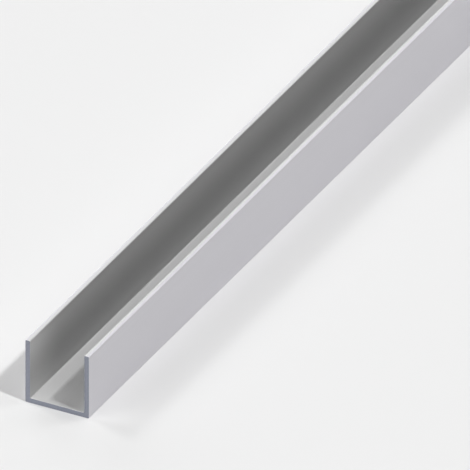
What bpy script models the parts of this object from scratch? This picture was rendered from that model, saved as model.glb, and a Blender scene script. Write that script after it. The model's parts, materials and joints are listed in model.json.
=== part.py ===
"""A metal channel section: one length of square, U-shaped aluminium extrusion, lying on its web.

X runs across the section, Y along the length and Z up, in metres. The origin is the middle of the
web's underside, and the groove opens upwards. The section is drawn once, as a flat outline with
every corner rounded, and pushed out along the length as an extrusion press does.
"""

import math

import bmesh
import bpy
from mathutils import Vector

# Driving dimensions, in metres
LENGTH = 1.0
SECTION_WIDTH = 0.020
SECTION_HEIGHT = 0.020
WEB_THICKNESS = 0.0015
FLANGE_THICKNESS = 0.0015
HEEL_RADIUS = 0.0003  # outside corners, where each flange turns into the web
ROOT_RADIUS = 0.0003  # inside corners, where each groove wall meets the groove's floor
LIP_RADIUS = 0.0003  # both edges along the top of each flange

# Mesh settings
ARC_STEPS = 4  # facets to each rounded corner
WELD_DISTANCE = 0.000001
SMOOTH_ANGLE = math.radians(35)

# Finish: plain aluminium with a satin sheen
ALUMINIUM_COLOUR = (0.60, 0.60, 0.62, 1.0)
ALUMINIUM_METALLIC = 1.0
ALUMINIUM_ROUGHNESS = 0.4


def clear_scene():
    for old in list(bpy.data.objects):
        bpy.data.objects.remove(old, do_unlink=True)


def aluminium():
    material = bpy.data.materials.new("aluminium")
    material.use_nodes = True
    shader = material.node_tree.nodes["Principled BSDF"]
    shader.inputs["Base Color"].default_value = ALUMINIUM_COLOUR
    shader.inputs["Metallic"].default_value = ALUMINIUM_METALLIC
    shader.inputs["Roughness"].default_value = ALUMINIUM_ROUGHNESS
    return material


def section_corners():
    """The section's eight sharp corners with their radii, anticlockwise from the left heel."""
    outside = SECTION_WIDTH / 2
    inside = outside - FLANGE_THICKNESS
    return [
        (Vector((-outside, 0)), HEEL_RADIUS),
        (Vector((outside, 0)), HEEL_RADIUS),
        (Vector((outside, SECTION_HEIGHT)), LIP_RADIUS),
        (Vector((inside, SECTION_HEIGHT)), LIP_RADIUS),
        (Vector((inside, WEB_THICKNESS)), ROOT_RADIUS),
        (Vector((-inside, WEB_THICKNESS)), ROOT_RADIUS),
        (Vector((-inside, SECTION_HEIGHT)), LIP_RADIUS),
        (Vector((-outside, SECTION_HEIGHT)), LIP_RADIUS),
    ]


def corner_arc(corner, arriving, leaving, radius):
    """A quarter circle that rounds a square corner, whichever way the outline turns there."""
    centre = corner + radius * (leaving - arriving)
    turns = [math.pi / 2 * step / ARC_STEPS for step in range(ARC_STEPS + 1)]
    return [centre + radius * (math.sin(turn) * arriving - math.cos(turn) * leaving) for turn in turns]


def section_outline():
    corners = section_corners()
    outline = []
    for index, (corner, radius) in enumerate(corners):
        before = corners[index - 1][0]
        after = corners[(index + 1) % len(corners)][0]
        arriving = (corner - before).normalized()
        leaving = (after - corner).normalized()
        outline += corner_arc(corner, arriving, leaving, radius)
    return outline


def extruded_curve(name, outline, length):
    """The outline as a filled flat curve, pushed out by half the length to each side."""
    curve = bpy.data.curves.new(name, "CURVE")
    curve.dimensions = "2D"
    curve.fill_mode = "BOTH"
    curve.extrude = length / 2
    spline = curve.splines.new("POLY")
    spline.points.add(len(outline) - 1)
    for point, place in zip(spline.points, outline):
        point.co = (place.x, place.y, 0, 1)
    spline.use_cyclic_u = True
    return bpy.data.objects.new(name, curve)


def solid_from(curve_object, collection):
    """A mesh object with the curve's shape and place, its loose end faces joined to its sides."""
    collection.objects.link(curve_object)
    bpy.context.view_layer.update()
    evaluated = curve_object.evaluated_get(bpy.context.evaluated_depsgraph_get())
    mesh = bpy.data.meshes.new_from_object(evaluated)
    name = curve_object.name
    place = curve_object.matrix_world.copy()
    bpy.data.objects.remove(curve_object, do_unlink=True)

    shape = bmesh.new()
    shape.from_mesh(mesh)
    bmesh.ops.remove_doubles(shape, verts=shape.verts, dist=WELD_DISTANCE)
    bmesh.ops.recalc_face_normals(shape, faces=shape.faces)
    shape.to_mesh(mesh)
    shape.free()
    mesh.name = name
    mesh.shade_smooth()
    mesh.set_sharp_from_angle(angle=SMOOTH_ANGLE)

    solid = bpy.data.objects.new(name, mesh)
    solid.matrix_world = place
    collection.objects.link(solid)
    return solid


def make_channel(collection):
    """The one piece. Turning it a quarter about X stands the section up and lays the length along Y."""
    curve_object = extruded_curve("channel", section_outline(), LENGTH)
    curve_object.rotation_euler.x = math.pi / 2
    channel = solid_from(curve_object, collection)
    channel.data.materials.append(aluminium())
    keep_flats_flat = channel.modifiers.new("flat faces", "WEIGHTED_NORMAL")
    keep_flats_flat.keep_sharp = True
    return channel


def main():
    clear_scene()
    collection = bpy.data.collections.new("channel_section")
    bpy.context.scene.collection.children.link(collection)
    make_channel(collection)


main()
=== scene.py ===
# %% [markdown]
# # A length of aluminium channel
#
# The object is one piece of raw stock: a square U of thin aluminium, pressed out through a die and
# sawn to length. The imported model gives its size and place. This lesson dresses it: a finer mesh
# that Geometry Nodes sweep from the section, a satin metal with the die's faint lines, and duller,
# sawn ends. The camera, the floor and the lamps come first, so that each step can be looked at.

import json
import math

import bpy
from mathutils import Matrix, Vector


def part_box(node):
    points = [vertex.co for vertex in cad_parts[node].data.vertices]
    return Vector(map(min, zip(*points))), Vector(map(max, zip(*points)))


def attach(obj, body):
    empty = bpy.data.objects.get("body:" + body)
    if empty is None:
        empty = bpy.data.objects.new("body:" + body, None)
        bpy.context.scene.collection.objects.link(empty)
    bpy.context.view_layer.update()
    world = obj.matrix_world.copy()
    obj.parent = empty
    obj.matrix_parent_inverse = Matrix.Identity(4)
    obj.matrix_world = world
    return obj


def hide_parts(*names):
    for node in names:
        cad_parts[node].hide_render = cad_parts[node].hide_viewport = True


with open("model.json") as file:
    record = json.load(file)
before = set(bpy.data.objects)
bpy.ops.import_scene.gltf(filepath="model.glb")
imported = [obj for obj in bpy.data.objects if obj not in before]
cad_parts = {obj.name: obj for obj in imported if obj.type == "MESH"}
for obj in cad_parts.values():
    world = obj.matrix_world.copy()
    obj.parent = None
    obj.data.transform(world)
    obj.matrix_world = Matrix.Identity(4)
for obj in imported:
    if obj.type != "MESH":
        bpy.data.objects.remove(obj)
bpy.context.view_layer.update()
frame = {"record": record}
NEAR_CORNER, FAR_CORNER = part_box("channel")

# %% [markdown]
# ## The sizes
#
# Length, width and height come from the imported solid's box, and the wall's thickness from the
# height of its groove floor, so the dressed piece always fits the solid that it stands for. Only
# the small rounding of the edges is written here again, because no box or mount states it.

# %% Read the sizes
LENGTH = FAR_CORNER.y - NEAR_CORNER.y
SECTION_WIDTH = FAR_CORNER.x - NEAR_CORNER.x
SECTION_HEIGHT = FAR_CORNER.z - NEAR_CORNER.z
mounts = {mount["name"]: mount for mount in frame["record"]["mounts"]}
WALL = mounts["groove_floor"]["pos_m"][2]
HEEL_RADIUS = 0.0003  # along the two bottom edges
ROOT_RADIUS = 0.0003  # in the two corners of the groove
LIP_RADIUS = 0.0003  # on both edges of each flange's tip
print(f"channel {SECTION_WIDTH * 1000:.1f} x {SECTION_HEIGHT * 1000:.1f} x {WALL * 1000:.1f} mm,"
      f" {LENGTH * 1000:.0f} mm long")

# %% [markdown]
# ## The camera
#
# In the picture all the long edges are parallel, so the camera has no perspective: it is
# orthographic. It looks down on the sawn end from the front and a little from the right. The
# picture's scale and one corner of the sawn end place it exactly, so nothing is found by eye.

# %% Set up the camera
CAMERA_AZIMUTH = math.radians(27.75)
CAMERA_ELEVATION = math.radians(30.94)
PICTURE_PIXELS = 470
PIXELS_PER_METRE = 3595
HEEL_PIXEL = (25.22, 401.6)  # where the sawn end's outer bottom left corner shows
CAMERA_DISTANCE = 1.0
CLIP_START, CLIP_END = 0.01, 20.0  # nearer and further than anything that shows


def make_camera():
    sin_a, cos_a = math.sin(CAMERA_AZIMUTH), math.cos(CAMERA_AZIMUTH)
    sin_e, cos_e = math.sin(CAMERA_ELEVATION), math.cos(CAMERA_ELEVATION)
    back = Vector((sin_a * cos_e, -cos_a * cos_e, sin_e))
    right = Vector((cos_a, sin_a, 0))
    up = back.cross(right)
    half = PICTURE_PIXELS / 2
    aim = NEAR_CORNER + right * ((half - HEEL_PIXEL[0]) / PIXELS_PER_METRE)
    aim += up * ((HEEL_PIXEL[1] - half) / PIXELS_PER_METRE)
    data = bpy.data.cameras.new("product camera")
    data.type = "ORTHO"
    data.ortho_scale = PICTURE_PIXELS / PIXELS_PER_METRE
    data.clip_start = CLIP_START
    data.clip_end = CLIP_END
    camera = bpy.data.objects.new("product camera", data)
    camera.location = aim + back * CAMERA_DISTANCE
    camera.rotation_mode = "QUATERNION"
    camera.rotation_quaternion = (-back).to_track_quat("-Z", "Y")
    bpy.context.scene.collection.objects.link(camera)
    bpy.context.scene.camera = camera
    print("the picture is", round(data.ortho_scale * 1000), "mm wide")


make_camera()

# %% [markdown]
# ## Nodes written as code
#
# Materials and Geometry Nodes are both node trees, and a tree is easier to read as a list of short
# steps than as a page of links. These helpers add a node, with a number or another node's output
# on each input, and do sums on numbers and vectors. Most later cells use them.

# %% Helpers for node trees
def add_node(tree, kind, inputs, **settings):
    """Adds one node: its settings first, then a value or another node's output on each input."""
    node = tree.nodes.new(kind)
    for name, value in settings.items():
        setattr(node, name, value)
    for name, value in inputs.items():
        if isinstance(value, bpy.types.NodeSocket):
            tree.links.new(value, node.inputs[name])
        else:
            node.inputs[name].default_value = value
    return node


def maths(tree, operation, *values):
    """What a Math node makes of these numbers or outputs."""
    return add_node(tree, "ShaderNodeMath", dict(enumerate(values)), operation=operation).outputs[0]


def vectors(tree, operation, *values):
    """What a Vector Math node makes of these vectors or outputs."""
    node = add_node(tree, "ShaderNodeVectorMath", dict(enumerate(values)), operation=operation)
    return node.outputs[0]


def scaled(tree, vector, factor):
    """A vector times a number."""
    inputs = {0: vector, "Scale": factor}
    return add_node(tree, "ShaderNodeVectorMath", inputs, operation="SCALE").outputs[0]


def between(tree, value, start, end, low=0.0, high=1.0):
    """A number that goes from low to high as the value goes from start to end, and no further."""
    inputs = {"Value": value, "From Min": start, "From Max": end, "To Min": low, "To Max": high}
    return add_node(tree, "ShaderNodeMapRange", inputs, interpolation_type="SMOOTHSTEP").outputs[0]


# %% [markdown]
# ## The floor
#
# The stock lies on a pale studio floor. The floor is a plain matt plane, wide enough that no edge
# shows from any side, and it keeps the channel's soft shadow. It isn't part of the object.

# %% Make the floor
FLOOR_COLOUR = (0.81, 0.81, 0.81, 1.0)
FLOOR_SIZE = 8.0


def make_floor():
    bpy.ops.mesh.primitive_plane_add(size=FLOOR_SIZE)
    floor = bpy.context.object
    floor.name = "floor"
    material = bpy.data.materials.new("pale floor")
    material.use_nodes = True
    shader = material.node_tree.nodes["Principled BSDF"]
    shader.inputs["Base Color"].default_value = FLOOR_COLOUR
    shader.inputs["Roughness"].default_value = 1.0
    shader.inputs["Specular IOR Level"].default_value = 0.0
    floor.data.materials.append(material)


make_floor()

# %% [markdown]
# ## The light
#
# Metal shows what surrounds it, so the lamps are chosen for what each face sends to the camera.
# The key lamp stands high on the right and throws the flange's shadow onto the groove's floor. A
# lamp behind on the right lights the outer face and the strip of floor that the shadow leaves,
# and a low one behind on the left shows in the flange tips. The left lamp gives the soft shadow
# beside the channel. Two broad lamps in front fill the shade and light the sawn end. Together
# they light a level surface about as bright as it is painted.

# %% Set up the lamps
WORLD_LEVEL = 0.01
LAMPS = {  # azimuth, elevation, strength and apparent size; azimuth 0 is the front and 90 the right
    "key lamp": (79, 56.2, 1.46, 4),
    "left lamp": (255, 50, 0.49, 12),
    "front lamp": (0, 30, 1.35, 60),
    "front left lamp": (315, 45, 0.69, 30),
    "back left lamp": (225, 25, 0.43, 30),
    "back right lamp": (135, 45, 0.59, 30),
}


def make_world():
    world = bpy.data.worlds.new("studio")
    world.use_nodes = True
    background = world.node_tree.nodes["Background"]
    background.inputs["Color"].default_value = (1, 1, 1, 1)
    background.inputs["Strength"].default_value = WORLD_LEVEL
    bpy.context.scene.world = world


def make_lamp(name, azimuth, elevation, strength, size):
    """A lamp as far away as the sun, so that it lights the whole length alike."""
    data = bpy.data.lights.new(name, "SUN")
    data.energy = strength
    data.angle = math.radians(size)
    lamp = bpy.data.objects.new(name, data)
    a, e = math.radians(azimuth), math.radians(elevation)
    towards = Vector((math.sin(a) * math.cos(e), -math.cos(a) * math.cos(e), math.sin(e)))
    lamp.rotation_mode = "QUATERNION"
    lamp.rotation_quaternion = towards.to_track_quat("Z", "Y")
    bpy.context.scene.collection.objects.link(lamp)


make_world()
for name, place in LAMPS.items():
    make_lamp(name, *place)
bpy.context.scene.view_settings.view_transform = "Standard"
level = sum(strength * math.sin(math.radians(elevation)) for _, elevation, strength, _ in LAMPS.values())
print("light on a level surface:", round(level / math.pi + WORLD_LEVEL, 2))

# %% [markdown]
# ## The satin metal
#
# An extruded and satin-finished face has two looks at two sizes. Fine lines run along it, as wide
# as a hair, where the die dragged, and broad, faint clouds pass along the length. On top of them,
# light and shade are painted into the colour face by face: the flange tips and the groove's floor
# are painted paler, as if lit, and the groove's walls darker, as if shaded, most at their foot and
# least at their top. The inside of the groove also has a slightly greyer colour. The lines come
# from a noise that is drawn out more than a hundredfold along the channel, the painted light and
# shade from attributes that the mesh carries, and the clouds from a large, soft noise. Near the
# sawn ends the groove's walls are painted paler, as light that comes in at the open end, and a ramp
# over the distance from the end adds that. A painted highlight lies along the two rounded heels.
# Everything is on Object coordinates or attributes, so it turns with the part.

# %% Make the satin metal
SATIN_COLOUR = (0.600, 0.593, 0.619, 1.0)
GROOVE_COLOUR = (0.600, 0.600, 0.600, 1.0)
SATIN_METALLIC = 0.7  # a satin finish leaves a thin milky film that scatters part of the light
SATIN_ROUGHNESS = 0.6
NOISE_ROUGHNESS = 0.6  # how strong each finer layer of a noise is beside the one before
LINE_SPACING = 0.00035
LINE_STRETCH = 0.006  # the noise's scale along the channel, as a share of that across it
LINE_DETAIL = 3.0  # how many finer layers the noise has
LINE_TONE = 0.03  # how much paler and darker the lines are than the face
LINE_ROUGHNESS = 0.06  # and how much rougher and smoother
LINE_HEIGHT = 0.000004
CLOUD_SIZE = 0.03
CLOUD_STRETCH = 0.3  # this and the next two as for the lines
CLOUD_DETAIL = 2.0
CLOUD_TONE = 0.03
# Painted highlight on the rounded heels.
PAINTED_HEEL_HIGHLIGHT = 0.15  # how much paler the rounded heels are
# Painted light on the groove's walls near the open ends.
PAINTED_END_LIGHT = 0.26  # how much paler the groove's walls are right at the sawn ends
END_LIGHT_LENGTH = 0.02


def attribute(tree, name):
    return add_node(tree, "ShaderNodeAttribute", {}, attribute_name=name).outputs["Fac"]


def stretched_noise(tree, spacing, stretch, detail):
    """Noise of a given spacing across the channel, drawn out along it."""
    place = tree.nodes.new("ShaderNodeTexCoord").outputs["Object"]
    drawn = add_node(tree, "ShaderNodeMapping", {"Vector": place, "Scale": (1.0, stretch, 1.0)})
    layers = {"Detail": detail, "Roughness": NOISE_ROUGHNESS}
    inputs = {"Vector": drawn.outputs[0], "Scale": 1.0 / spacing, **layers}
    return add_node(tree, "ShaderNodeTexNoise", inputs).outputs["Fac"]


def mixed(tree, factor, first, second):
    """A colour between two others."""
    inputs = {0: factor, 6: first, 7: second}  # the sockets that a Mix node shows for colours
    return add_node(tree, "ShaderNodeMix", inputs, data_type="RGBA").outputs[2]


def centred(tree, value, size):
    """A noise of 0 to 1 as a swing of that size round nought."""
    return maths(tree, "MULTIPLY", maths(tree, "SUBTRACT", value, 0.5), 2 * size)


def from_end(tree):
    """How far along the channel a point is from the nearer sawn end."""
    place = tree.nodes.new("ShaderNodeTexCoord").outputs["Object"]
    along = add_node(tree, "ShaderNodeSeparateXYZ", {"Vector": place}).outputs["Y"]
    return maths(tree, "SUBTRACT", LENGTH / 2, maths(tree, "ABSOLUTE", along))


def make_satin():
    material = bpy.data.materials.new("satin aluminium")
    material.use_nodes = True
    tree = material.node_tree
    shader = tree.nodes["Principled BSDF"]
    lines = stretched_noise(tree, LINE_SPACING, LINE_STRETCH, LINE_DETAIL)
    clouds = stretched_noise(tree, CLOUD_SIZE, CLOUD_STRETCH, CLOUD_DETAIL)
    # Painted light: the groove's walls are painted paler towards each sawn end, where light comes in.
    end_light_ramp = between(tree, from_end(tree), 0.0, END_LIGHT_LENGTH, PAINTED_END_LIGHT, 0.0)
    end_light = maths(tree, "MULTIPLY", attribute(tree, "wall"), end_light_ramp)
    tone = maths(tree, "ADD", centred(tree, lines, LINE_TONE), centred(tree, clouds, CLOUD_TONE))
    # Painted highlight along the two rounded heels.
    tone = maths(tree, "ADD", tone, maths(tree, "MULTIPLY", attribute(tree, "edge"), PAINTED_HEEL_HIGHLIGHT))
    # The mesh's tone attribute is painted light and shade, face by face.
    face_light_and_shade = maths(tree, "ADD", attribute(tree, "tone"), end_light)
    tone = maths(tree, "MULTIPLY", maths(tree, "ADD", tone, 1.0), face_light_and_shade)
    colour = mixed(tree, attribute(tree, "groove"), SATIN_COLOUR, GROOVE_COLOUR)
    roughness = maths(tree, "ADD", SATIN_ROUGHNESS, centred(tree, lines, LINE_ROUGHNESS))
    bump = add_node(tree, "ShaderNodeBump", {"Height": lines, "Distance": LINE_HEIGHT})
    tree.links.new(scaled(tree, colour, tone), shader.inputs["Base Color"])
    tree.links.new(roughness, shader.inputs["Roughness"])
    tree.links.new(bump.outputs[0], shader.inputs["Normal"])
    shader.inputs["Metallic"].default_value = SATIN_METALLIC
    return material


satin = make_satin()
print("made", satin.name, "from", len(satin.node_tree.nodes), "nodes")

# %% [markdown]
# ## The sawn ends
#
# A circular saw cuts the stock to length. Its teeth leave a torn, duller face without the satin
# film, and shallow arcs about a millimetre apart, one for each turn of the blade. Rings round a
# centre that lies well outside the section draw such arcs, a noise breaks them up, and the two
# together tint, roughen and dent the face. The sawn metal looks darker and bluer than the satin.

# %% Make the sawn metal
SAWN_COLOUR = (0.288, 0.303, 0.357, 1.0)
SAWN_METALLIC = 0.7
SAWN_ROUGHNESS = 0.6
SAW_CENTRE = (-0.11, 0.0, 0.13)  # the blade's axle passes here, above the section and to its left
SAW_MARK_SPACING = 0.000987
WAVE_RATE = 20  # how many radians a Wave texture turns through in one unit of its own space
ARC_WANDER = 1.5  # how far, in radians, the noise pushes the arcs out of line
ARC_DETAIL = 2.0
SAW_TONE = 0.08
SAW_DEPTH = 0.000012
GRAIN_SIZE = 0.0004
GRAIN_DETAIL = 3.0


def make_sawn():
    material = bpy.data.materials.new("sawn aluminium")
    material.use_nodes = True
    tree = material.node_tree
    shader = tree.nodes["Principled BSDF"]
    place = tree.nodes.new("ShaderNodeTexCoord").outputs["Object"]
    about = vectors(tree, "SUBTRACT", place, SAW_CENTRE)
    flat = vectors(tree, "MULTIPLY", about, (1.0, 0.0, 1.0))
    scale = 2 * math.pi / WAVE_RATE / SAW_MARK_SPACING
    inputs = {"Vector": flat, "Scale": scale, "Distortion": ARC_WANDER, "Detail": ARC_DETAIL}
    arcs = add_node(tree, "ShaderNodeTexWave", inputs, wave_type="RINGS", rings_direction="SPHERICAL")
    inputs = {"Vector": place, "Scale": 1 / GRAIN_SIZE, "Detail": GRAIN_DETAIL}
    grain = add_node(tree, "ShaderNodeTexNoise", inputs)
    marks = maths(tree, "MULTIPLY", maths(tree, "ADD", arcs.outputs["Fac"], grain.outputs["Fac"]), 0.5)
    tone = maths(tree, "ADD", 1.0, centred(tree, marks, SAW_TONE))
    tree.links.new(scaled(tree, SAWN_COLOUR[:3], tone), shader.inputs["Base Color"])
    roughness = maths(tree, "ADD", SAWN_ROUGHNESS, centred(tree, marks, SAW_TONE))
    tree.links.new(roughness, shader.inputs["Roughness"])
    bump = add_node(tree, "ShaderNodeBump", {"Height": marks, "Distance": SAW_DEPTH})
    tree.links.new(bump.outputs[0], shader.inputs["Normal"])
    shader.inputs["Metallic"].default_value = SAWN_METALLIC
    return material


sawn = make_sawn()
print("made", sawn.name, "from", len(sawn.node_tree.nodes), "nodes")

# %% [markdown]
# ## The section's outline
#
# A die is a hole in a steel plate, and the channel is whatever comes through it. So the shape is
# one closed outline, the same all along. It has eight corners, and the right half mirrors the
# left: counted from either heel they are heel, outer lip, inner lip and root. The tree places
# eight points by that rule, joins them to a loop, rounds each corner by its own radius and lays
# a fine row of points along the result. The inputs have names, so a reader can change a size in
# the modifier and watch the section follow.

# %% Start the tree and draw the outline
CORNERS = 8
ARC_POINTS = 7  # on each rounded corner, before the outline is laid out evenly
POINT_SPACING = 0.00006


class Inputs:
    """The named inputs of a tree, with the value that the modifier will give each."""

    def __init__(self, tree):
        self.tree = tree
        self.node = tree.nodes.new("NodeGroupInput")
        self.values = {}

    def add(self, name, value, kind="Float"):
        kind = "NodeSocket" + kind
        socket = self.tree.interface.new_socket(name, in_out="INPUT", socket_type=kind)
        self.values[socket.identifier] = value
        return self.node.outputs[name]


def pick(tree, index, values):
    """The value whose place in the list is the index."""
    node = add_node(tree, "GeometryNodeIndexSwitch", {"Index": index}, data_type="FLOAT")
    while len(node.index_switch_items) < len(values):
        node.index_switch_items.new()
    for place, value in enumerate(values):
        if isinstance(value, bpy.types.NodeSocket):
            tree.links.new(value, node.inputs[str(place)])
        else:
            node.inputs[str(place)].default_value = value
    return node.outputs[0]


sweep = bpy.data.node_groups.new("channel section", "GeometryNodeTree")
sweep_inputs = Inputs(sweep)
length = sweep_inputs.add("Length", LENGTH)
width = sweep_inputs.add("Width", SECTION_WIDTH)
height = sweep_inputs.add("Height", SECTION_HEIGHT)
wall = sweep_inputs.add("Wall", WALL)
heel_radius = sweep_inputs.add("Heel Radius", HEEL_RADIUS)
root_radius = sweep_inputs.add("Root Radius", ROOT_RADIUS)
lip_radius = sweep_inputs.add("Lip Radius", LIP_RADIUS)
arc_points = sweep_inputs.add("Arc Points", ARC_POINTS, "Int")
point_spacing = sweep_inputs.add("Point Spacing", POINT_SPACING)


def draw_corners(tree):
    """Eight points where the section's corners would be if they were sharp."""
    index = tree.nodes.new("GeometryNodeInputIndex").outputs[0]
    corner = maths(tree, "MINIMUM", index, maths(tree, "SUBTRACT", CORNERS - 1, index))
    side = maths(tree, "SIGN", maths(tree, "SUBTRACT", (CORNERS - 1) / 2, index))
    outside = maths(tree, "MULTIPLY", width, 0.5)
    inside = maths(tree, "SUBTRACT", outside, wall)
    across = maths(tree, "MULTIPLY", side, pick(tree, corner, (outside, outside, inside, inside)))
    up = pick(tree, corner, (0.0, height, height, wall))
    place = add_node(tree, "ShaderNodeCombineXYZ", {"X": across, "Y": up}).outputs[0]
    row = add_node(tree, "GeometryNodeMeshLine", {"Count": CORNERS}).outputs[0]
    corners = add_node(tree, "GeometryNodeSetPosition", {"Geometry": row, "Position": place})
    radius = pick(tree, corner, (heel_radius, lip_radius, lip_radius, root_radius))
    return corners.outputs[0], radius


def round_outline(tree, corners, radius):
    """The closed outline with rounded corners, as a curve of evenly spaced points."""
    open_line = add_node(tree, "GeometryNodeMeshToCurve", {"Mesh": corners}).outputs[0]
    closed = {"Geometry": open_line, "Cyclic": True}
    loop = add_node(tree, "GeometryNodeSetSplineCyclic", closed).outputs[0]
    fillet = {"Curve": loop, "Count": arc_points, "Radius": radius}
    rounded = add_node(tree, "GeometryNodeFilletCurve", fillet, mode="POLY").outputs[0]
    points = {"Curve": rounded, "Length": point_spacing}
    return add_node(tree, "GeometryNodeResampleCurve", points, mode="LENGTH").outputs[0]


corners, radius = draw_corners(sweep)
outline = round_outline(sweep, corners, radius)
print("the outline has", CORNERS, "corners and a point every", POINT_SPACING * 1000, "mm")

# %% [markdown]
# ## Die lines
#
# Tiny burrs in the die's edge plough lines a few thousandths of a millimetre deep along the whole
# length. They only ever take metal away, so each point of the outline moves inwards: at right
# angles to the outline's direction, by a fine noise for the even drag and by the peaks of a
# coarser noise for the few deeper scores. Both noises read the point's place in the section and
# have a fixed seed, so the lines stay the same each time.

# %% Press the die lines in
LINE_DEPTH = 0.000004  # the most that the even drag takes away
LINE_WIDTH = 0.0004
DRAG_DETAIL = 3.0  # how many finer layers its noise has
SCORE_DEPTH = 0.000008
SCORE_SPACING = 2  # scores are this many times as wide apart as the fine lines
SCORE_DETAIL = 0.0
SCORE_FROM, SCORE_TO = 0.68, 0.80  # the noise's level where a score begins, and where it is full
SEED = 7

line_depth = sweep_inputs.add("Line Depth", LINE_DEPTH)
line_width = sweep_inputs.add("Line Width", LINE_WIDTH)
score_depth = sweep_inputs.add("Score Depth", SCORE_DEPTH)
seed = sweep_inputs.add("Seed", SEED)


def section_noise(tree, place, spacing, seed, detail):
    values = {"Vector": place, "W": seed, "Scale": maths(tree, "DIVIDE", 1.0, spacing), "Detail": detail}
    return add_node(tree, "ShaderNodeTexNoise", values, noise_dimensions="4D").outputs["Fac"]


tangent = sweep.nodes.new("GeometryNodeInputTangent").outputs[0]
here = sweep.nodes.new("GeometryNodeInputPosition").outputs[0]
inward = vectors(sweep, "NORMALIZE", vectors(sweep, "CROSS_PRODUCT", (0, 0, 1), tangent))
drag = maths(sweep, "MULTIPLY", section_noise(sweep, here, line_width, seed, DRAG_DETAIL), line_depth)
wide = maths(sweep, "MULTIPLY", line_width, SCORE_SPACING)
coarse = section_noise(sweep, here, wide, maths(sweep, "ADD", seed, 1.0), SCORE_DETAIL)
scores = maths(sweep, "MULTIPLY", between(sweep, coarse, SCORE_FROM, SCORE_TO), score_depth)
die_lines = scaled(sweep, inward, maths(sweep, "ADD", drag, scores))

# %% [markdown]
# ## The skin
#
# The outline could be swept with Curve to Mesh, but the sawn edges need a small rounding too,
# where the saw's burr was filed off. So the skin is a grid that is wrapped round the outline: its
# columns follow the outline's points, and its rows are the stations along the length. Near each
# end the rows draw in along a quarter circle, which is the broken edge. Then comes one row that
# keeps the flat faces flat in the shading, and nothing more up to the other end.

# %% Wrap a grid round the outline
EDGE_BREAK = 0.00015  # the radius of the broken edge
BREAK_STEPS = 3  # faces across it
HOLDING_ROW = 0.0004  # how far behind the broken edge the flat faces are held
ROWS = 2 * (BREAK_STEPS + 2)

edge_break = sweep_inputs.add("Edge Break", EDGE_BREAK)


def at_column(tree, value, column):
    """What a field of the outline is at one of its points."""
    values = {"Geometry": outline, "Index": column}
    node = add_node(tree, "GeometryNodeSampleIndex", values, data_type="FLOAT_VECTOR")
    tree.links.new(value, node.inputs["Value"])
    return node.outputs[0]


def place_rows(tree, row):
    """Where a row lies along the length, and how far it is drawn in."""
    step = maths(tree, "MINIMUM", row, maths(tree, "SUBTRACT", ROWS - 1, row))
    end = maths(tree, "SIGN", maths(tree, "SUBTRACT", row, (ROWS - 1) / 2))
    turn = maths(tree, "MULTIPLY", maths(tree, "MINIMUM", step, BREAK_STEPS), math.pi / 2 / BREAK_STEPS)
    inset = maths(tree, "MULTIPLY", edge_break, maths(tree, "SUBTRACT", 1.0, maths(tree, "SINE", turn)))
    back = maths(tree, "MULTIPLY", edge_break, maths(tree, "SUBTRACT", 1.0, maths(tree, "COSINE", turn)))
    held = maths(tree, "MULTIPLY", maths(tree, "GREATER_THAN", step, BREAK_STEPS + 0.5), HOLDING_ROW)
    half = maths(tree, "MULTIPLY", length, 0.5)
    from_middle = maths(tree, "SUBTRACT", half, maths(tree, "ADD", back, held))
    return maths(tree, "MULTIPLY", end, from_middle), inset


def upright(tree, flat, along):
    """Stands the section's X and Y up as X and Z, with the length as Y."""
    parts = add_node(tree, "ShaderNodeSeparateXYZ", {"Vector": flat})
    stood = {"X": parts.outputs["X"], "Y": along, "Z": parts.outputs["Y"]}
    return add_node(tree, "ShaderNodeCombineXYZ", stood).outputs[0]


counter = add_node(sweep, "GeometryNodeAttributeDomainSize", {"Geometry": outline}, component="CURVE")
count = counter.outputs[0]
grid_size = {"Vertices X": maths(sweep, "ADD", count, 1), "Vertices Y": ROWS}
grid = add_node(sweep, "GeometryNodeMeshGrid", grid_size)
index = sweep.nodes.new("GeometryNodeInputIndex").outputs[0]
column = maths(sweep, "FLOOR", maths(sweep, "DIVIDE", maths(sweep, "ADD", index, 0.5), ROWS))
column = maths(sweep, "MODULO", column, count)
along, inset = place_rows(sweep, maths(sweep, "MODULO", index, ROWS))
on_outline = at_column(sweep, vectors(sweep, "ADD", here, die_lines), column)
into_metal = at_column(sweep, inward, column)
place = upright(sweep, vectors(sweep, "ADD", on_outline, scaled(sweep, into_metal, inset)), along)
skin = add_node(sweep, "GeometryNodeSetPosition", {"Geometry": grid.outputs["Mesh"], "Position": place})
skin = add_node(sweep, "GeometryNodeFlipFaces", {"Mesh": skin.outputs[0]}).outputs[0]
print("the skin has", ROWS, "rows of points from end to end")

# %% [markdown]
# ## What the mesh tells the materials
#
# A material can't see that a point lies on the groove's wall or on a rounded edge, but the mesh
# can carry that as named attributes. "tone" is the painted light and shade of each face: palest on
# the flange tips, painted as lit, and darkest on the groove's walls, painted as shaded. "groove" is
# 1 all over the inside of the groove and "wall" only on its two walls. "edge" is 1 on the two
# rounded heels, where a highlight is painted, and fades within a fraction of a millimetre.

# %% Store the attributes
# Painted light and shade, as factors on the satin colour, face by face.
SIDE_TONE = 1.135  # at the top of the outer sides
PAINTED_FOOT_LIGHT = 1.185  # and at their foot
PAINTED_TIP_HIGHLIGHT = 1.57
PAINTED_FLOOR_LIGHT = 1.47
UP_FULL = 0.7  # a surface whose normal rises this much has the whole tone of a level one
PAINTED_WALL_SHADE = 0.59  # halfway up the groove's walls
PAINTED_ROOT_SHADE = 0.45  # at their foot
PAINTED_LIP_LIGHT = 0.99  # and at their top
ROOT_SHADE_SHARE = 0.6  # how far up the height the root's tone fades out
LIP_LIGHT_SHARE = 0.55  # and how far down the lip's does
EDGE_NEAR, EDGE_FAR = 0.00015, 0.00045  # from the corner, where the bright edge begins to fade and ends


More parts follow.
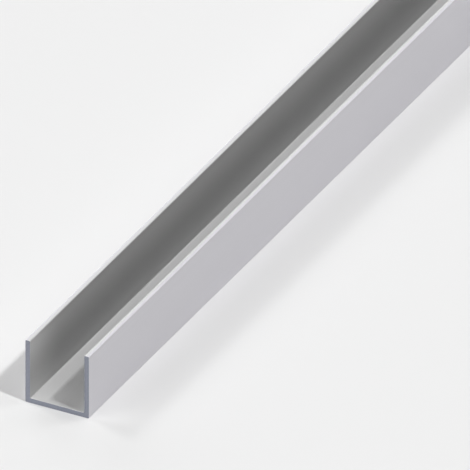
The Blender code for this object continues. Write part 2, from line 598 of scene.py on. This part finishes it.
def mark(tree, mesh, name, value):
    """The same mesh with a number on each point."""
    node = add_node(tree, "GeometryNodeStoreNamedAttribute", {"Geometry": mesh, "Name": name})
    tree.links.new(value, node.inputs["Value"])
    return node.outputs[0]


def blended(tree, factor, first, second):
    """A number between two others."""
    inputs = {0: factor, 2: first, 3: second}  # the sockets that a Mix node shows for numbers
    return add_node(tree, "ShaderNodeMix", inputs, data_type="FLOAT").outputs[0]


def worn_edge(tree):
    """1 on the two rounded heels, where a highlight is painted, and 0 on the faces."""
    heel = maths(tree, "MULTIPLY", width, 0.5)
    flat = add_node(tree, "ShaderNodeSeparateXYZ", {"Vector": on_outline}).outputs
    across = maths(tree, "SUBTRACT", heel, maths(tree, "ABSOLUTE", flat["X"]))
    gap = maths(tree, "MAXIMUM", across, flat["Y"])
    return between(tree, gap, EDGE_NEAR, EDGE_FAR, 1.0, 0.0)


def face_tones(tree):
    """The painted light and shade of each face, 1 inside the groove, and 1 on the groove's two walls."""
    inwards = add_node(tree, "ShaderNodeSeparateXYZ", {"Vector": into_metal}).outputs
    flat = add_node(tree, "ShaderNodeSeparateXYZ", {"Vector": on_outline}).outputs
    up = between(tree, maths(tree, "MULTIPLY", inwards["Y"], -1), 0.0, UP_FULL)
    sideways = maths(tree, "ABSOLUTE", inwards["X"])
    mid_wall = maths(tree, "MULTIPLY", maths(tree, "SUBTRACT", width, wall), 0.5)
    mid_web = maths(tree, "MULTIPLY", wall, 0.5)
    within = maths(tree, "LESS_THAN", maths(tree, "ABSOLUTE", flat["X"]), mid_wall)
    above = maths(tree, "GREATER_THAN", flat["Y"], mid_web)
    groove = maths(tree, "MULTIPLY", within, above)
    groove_wall = maths(tree, "MULTIPLY", sideways, groove)
    rise = maths(tree, "DIVIDE", flat["Y"], height)
    # Painted light: level faces are painted paler, from the groove's floor up to the flange tips.
    level_light = between(tree, rise, 0.0, 1.0, PAINTED_FLOOR_LIGHT, PAINTED_TIP_HIGHLIGHT)
    # Painted shade on the groove's walls, deepest at their foot, with painted light towards their top.
    wall_shade = between(tree, rise, 0.0, ROOT_SHADE_SHARE, PAINTED_ROOT_SHADE, PAINTED_WALL_SHADE)
    paler = between(tree, rise, 1 - LIP_LIGHT_SHARE, 1.0, 0.0, PAINTED_LIP_LIGHT - PAINTED_WALL_SHADE)
    wall_shade = maths(tree, "ADD", wall_shade, paler)
    # Painted light on the outer sides, paler towards their foot.
    tone = between(tree, rise, 0.0, 1.0, PAINTED_FOOT_LIGHT, SIDE_TONE)
    tone = blended(tree, up, tone, level_light)
    tone = blended(tree, groove_wall, tone, wall_shade)
    return {"tone": tone, "groove": groove, "wall": groove_wall}


for name, value in face_tones(sweep).items():
    skin = mark(sweep, skin, name, value)
skin = mark(sweep, skin, "edge", worn_edge(sweep))

# %% [markdown]
# ## The flat layout of the surface
#
# A UV map says where each face lies on a flat picture of the surface. When the finish is turned
# into pictures for other programs, the map decides how sharp they are. Here the skin is rolled
# out as one rectangle: the length along the picture and the way round the section up it. The
# pixels then lie several times as close across the fine lines as along them, which is where the
# detail is. Both sawn ends lie above it.

# %% Lay out the UV map
MAP_NAME = "OFBake"
MAP_MARGIN = 0.01
SKIN_SHARE = 0.87  # of the map's height
END_SHARE = 0.09  # of the map's height and width, for each sawn end


def lay_out(tree, mesh, across, up):
    """The same mesh with a UV map made of two numbers on each face's corners."""
    place = add_node(tree, "ShaderNodeCombineXYZ", {"X": across, "Y": up}).outputs[0]
    kind = {"data_type": "FLOAT2", "domain": "CORNER"}
    node = add_node(tree, "GeometryNodeStoreNamedAttribute", {"Geometry": mesh, "Name": MAP_NAME}, **kind)
    tree.links.new(place, node.inputs["Value"])
    return node.outputs[0]


def linear(tree, value, size, low, share):
    """Where a length measured from the middle of a side falls in its share of the map."""
    part = maths(tree, "ADD", maths(tree, "DIVIDE", value, size), 0.5)
    return maths(tree, "ADD", maths(tree, "MULTIPLY", part, share), low)


spot = add_node(sweep, "ShaderNodeSeparateXYZ", {"Vector": here})
round_section = add_node(sweep, "ShaderNodeSeparateXYZ", {"Vector": grid.outputs["UV Map"]}).outputs["X"]
up_map = maths(sweep, "ADD", maths(sweep, "MULTIPLY", round_section, SKIN_SHARE), MAP_MARGIN)
along_map = linear(sweep, spot.outputs["Y"], length, MAP_MARGIN, 1 - 2 * MAP_MARGIN)
skin = lay_out(sweep, skin, along_map, up_map)

# %% [markdown]
# ## Closing the ends
#
# The outline, drawn in by the broken edge, is filled to make one sawn end, stood upright and
# moved to each end. The far one is turned over so that both face outwards. Skin and ends are
# joined, and points that lie together are merged, which closes the piece. The tree ends by making
# everything real and by setting the materials: satin all over, and then sawn on each face that
# looks less than 60 degrees away from the length, which takes in most of the broken edge.

# %% Fill the ends and finish the tree
WELD_DISTANCE = 0.000001
SAWN_FACING = math.cos(math.radians(60))  # the least share of the length in a sawn face's normal


def sawn_face(tree, end, face):
    """The filled outline as an end face: end is -1 at the front and 1 at the back."""
    flat = add_node(tree, "ShaderNodeSeparateXYZ", {"Vector": here}).outputs
    left = MAP_MARGIN + (end + 1) * END_SHARE
    above = SKIN_SHARE + 2 * MAP_MARGIN
    middle = maths(tree, "SUBTRACT", flat["Y"], maths(tree, "MULTIPLY", height, 0.5))
    across = linear(tree, flat["X"], width, left, END_SHARE)
    up = linear(tree, middle, height, above, END_SHARE)
    face = lay_out(tree, face, across, up)
    half = maths(tree, "MULTIPLY", length, end / 2)
    move = add_node(tree, "ShaderNodeCombineXYZ", {"Y": half}).outputs[0]
    stand = {"Geometry": face, "Translation": move, "Rotation": (math.pi / 2, 0, 0)}
    return add_node(tree, "GeometryNodeTransform", stand).outputs[0]


def shaded(tree, mesh, smooth):
    values = {"Geometry": mesh, "Shade Smooth": smooth}
    return add_node(tree, "GeometryNodeSetShadeSmooth", values).outputs[0]


def fill_ends(tree):
    draw_in = vectors(tree, "ADD", die_lines, scaled(tree, inward, edge_break))
    smaller = {"Geometry": outline, "Offset": draw_in}
    smaller = add_node(tree, "GeometryNodeSetPosition", smaller).outputs[0]
    face = add_node(tree, "GeometryNodeFillCurve", {"Curve": smaller}, mode="NGONS").outputs[0]
    face = shaded(tree, face, False)
    turned = add_node(tree, "GeometryNodeFlipFaces", {"Mesh": face}).outputs[0]
    return sawn_face(tree, -1, face), sawn_face(tree, 1, turned)


def finish_tree(tree, parts):
    """Joins and closes the parts, makes them real and gives each face its material."""
    join = tree.nodes.new("GeometryNodeJoinGeometry")
    for part in parts:
        tree.links.new(part, join.inputs[0])
    closed = {"Geometry": join.outputs[0], "Distance": WELD_DISTANCE}
    closed = add_node(tree, "GeometryNodeMergeByDistance", closed).outputs[0]
    real = add_node(tree, "GeometryNodeRealizeInstances", {"Geometry": closed}).outputs[0]
    facing = tree.nodes.new("GeometryNodeInputNormal").outputs[0]
    facing = add_node(tree, "ShaderNodeSeparateXYZ", {"Vector": facing}).outputs["Y"]
    at_end = maths(tree, "GREATER_THAN", maths(tree, "ABSOLUTE", facing), SAWN_FACING)
    clad = add_node(tree, "GeometryNodeSetMaterial", {"Geometry": real, "Material": satin}).outputs[0]
    sawn_too = {"Geometry": clad, "Selection": at_end, "Material": sawn}
    clad = add_node(tree, "GeometryNodeSetMaterial", sawn_too).outputs[0]
    tree.interface.new_socket("Geometry", in_out="OUTPUT", socket_type="NodeSocketGeometry")
    tree.links.new(clad, tree.nodes.new("NodeGroupOutput").inputs[0])


finish_tree(sweep, (shaded(sweep, skin, True), *fill_ends(sweep)))
print("the tree has", len(sweep.nodes), "nodes and", len(sweep_inputs.values), "named inputs")

# %% [markdown]
# ## From tree to piece
#
# The modifier gets each size by its input's identifier. The evaluated object is then copied to a
# plain mesh, so that nothing is left to be worked out later, and the object with the modifier is
# removed. The new piece rides on the only body and stands in for the imported solid, which stays
# for collision.

# %% Make the channel
PIECE_NAME = "channel_profile"


def make_piece():
    maker = bpy.data.objects.new("sweep maker", bpy.data.meshes.new("empty"))
    bpy.context.scene.collection.objects.link(maker)
    modifier = maker.modifiers.new("sweep", "NODES")
    modifier.node_group = sweep
    for identifier, value in sweep_inputs.values.items():
        modifier[identifier] = value
    evaluated = maker.evaluated_get(bpy.context.evaluated_depsgraph_get())
    mesh = bpy.data.meshes.new_from_object(evaluated)
    bpy.data.objects.remove(maker)
    mesh.materials.pop(index=0)  # the empty slot that the grid began with
    mesh.name = PIECE_NAME
    piece = bpy.data.objects.new(PIECE_NAME, mesh)
    bpy.context.scene.collection.objects.link(piece)
    return piece


channel = make_piece()
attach(channel, "root")
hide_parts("channel")
channel.data.calc_loop_triangles()
print("the channel has", len(channel.data.loop_triangles), "triangles in", channel.data.materials.keys())
